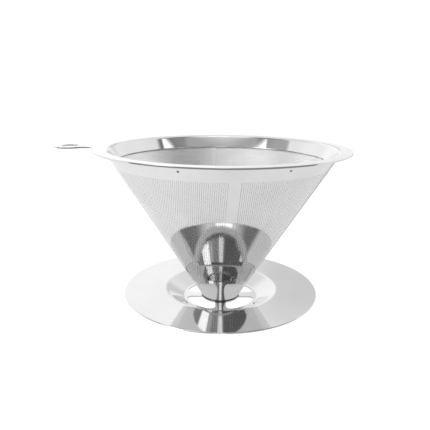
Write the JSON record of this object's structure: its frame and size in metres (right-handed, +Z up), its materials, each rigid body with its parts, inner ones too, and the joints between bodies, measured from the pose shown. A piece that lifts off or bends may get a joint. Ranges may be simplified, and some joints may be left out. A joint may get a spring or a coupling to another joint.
{
  "type": "pour over dripper",
  "caption": "Steel pour over coffee dripper: a double cone filter of slotted sheet and fine mesh under a flat rim with a hanging tab, fixed to a round cup stand with drip openings.",
  "frame": {"origin": "centre of the hub's underside, the lowest face of the stand, on the cone's axis", "axes": "+Z up along the cone's axis, towards the mouth; -X points along the hanging tab; -Y is the front"},
  "size_m": [0.1455, 0.125, 0.0796],
  "materials": {
    "polished_rim": "polished",
    "polished_stand": "polished",
    "slotted_sheet": "gloss",
    "woven_mesh": "satin",
    "weld_metal": "satin"
  },
  "bodies": {
    "root": {"rim_collar": "polished_rim", "outer_cone": "slotted_sheet", "inner_mesh": "woven_mesh", "tip_cap": "polished_stand", "cup_stand": "polished_stand", "outer_seam_weld": "weld_metal", "mesh_lap_seam": "woven_mesh", "rim_spot_welds": "weld_metal", "tip_spot_welds": "weld_metal"}
  },
  "joints": []
}
